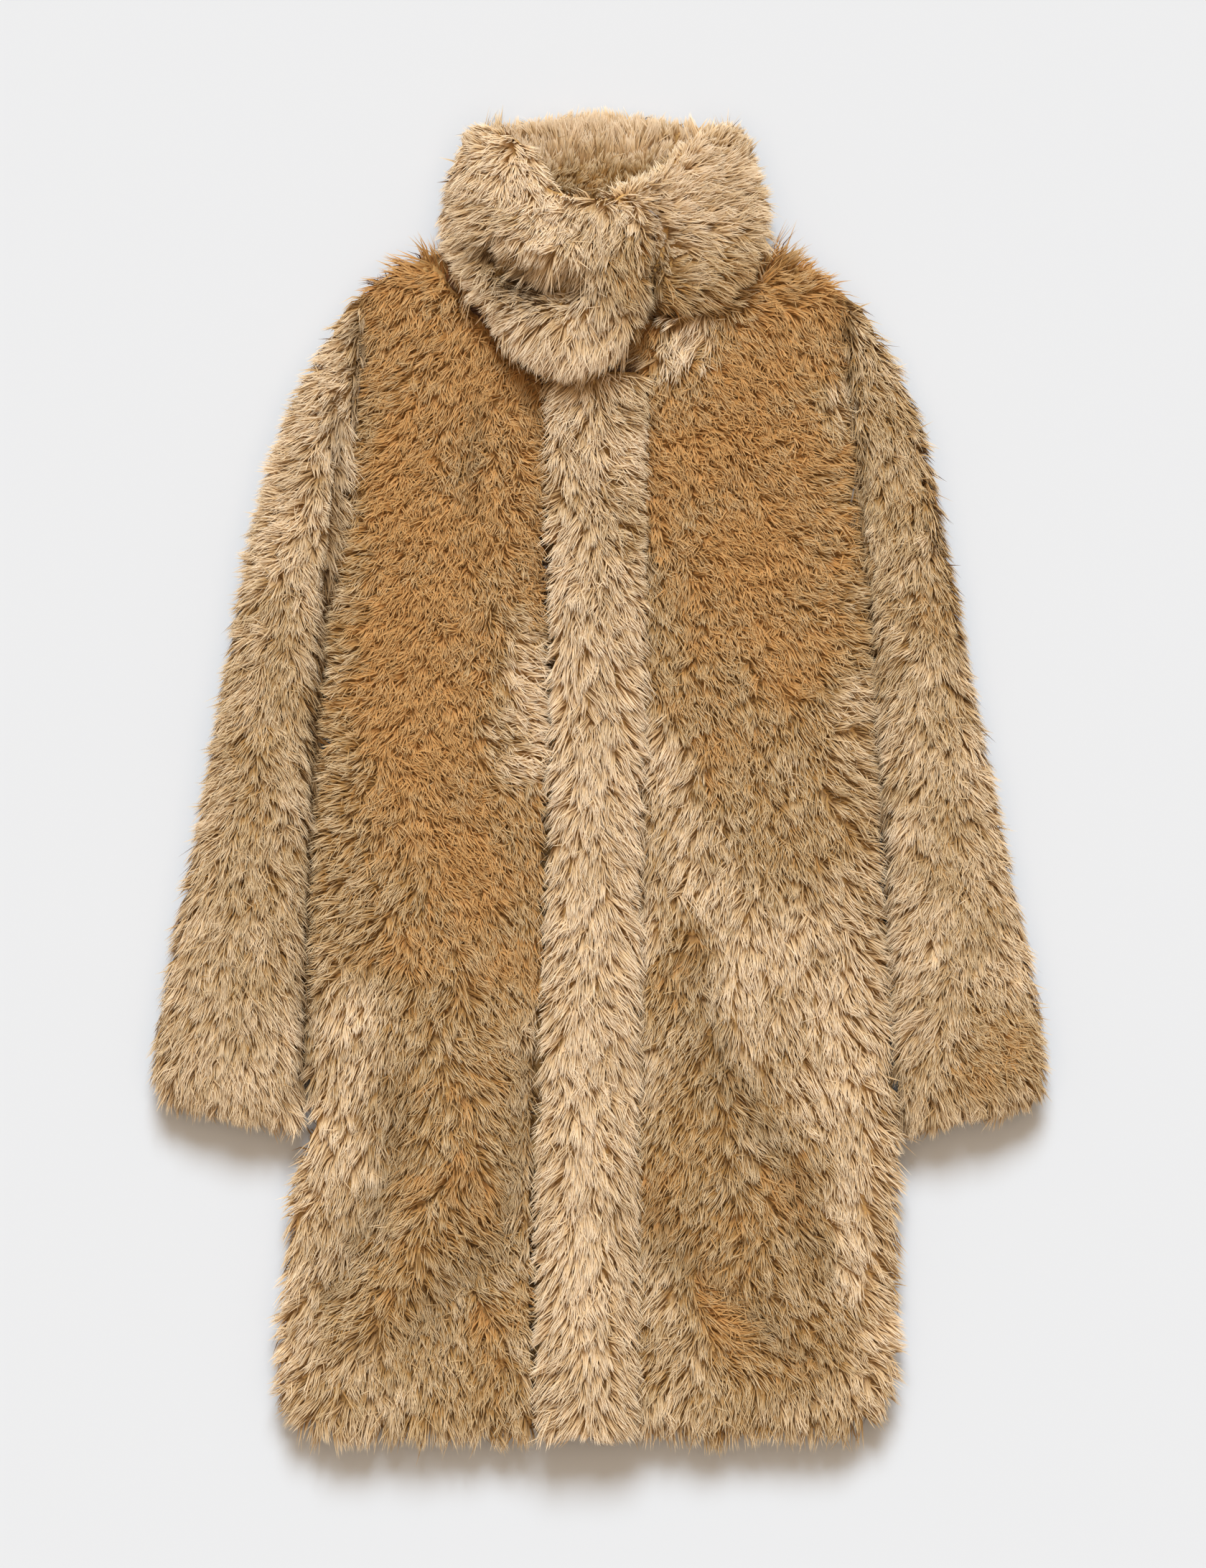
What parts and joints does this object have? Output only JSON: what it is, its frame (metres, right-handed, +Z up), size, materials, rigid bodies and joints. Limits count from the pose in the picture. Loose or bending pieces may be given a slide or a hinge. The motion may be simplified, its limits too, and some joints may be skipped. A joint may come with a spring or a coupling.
{
  "type": "faux fur coat",
  "caption": "Knee-length coat of long pile fabric, laid flat on its back, closed at the front, with a tall funnel collar and long straight sleeves.",
  "frame": {"origin": "middle of the floor that the coat covers, at the height of its underside", "axes": "+Y from the hem to the collar, +X to the wearer's left, +Z up out of the coat's front"},
  "size_m": [0.6962, 1.0278, 0.0761],
  "materials": {
    "golden_pile": "long soft acrylic pile, golden beige with paler tips",
    "pale_pile": "long soft acrylic pile combed flat, pale beige"
  },
  "bodies": {
    "root": {"back": "golden_pile", "front_right": "golden_pile", "front_left": "golden_pile", "placket": "pale_pile", "sleeve_right": "golden_pile", "sleeve_left": "golden_pile", "collar": "pale_pile"}
  },
  "joints": []
}
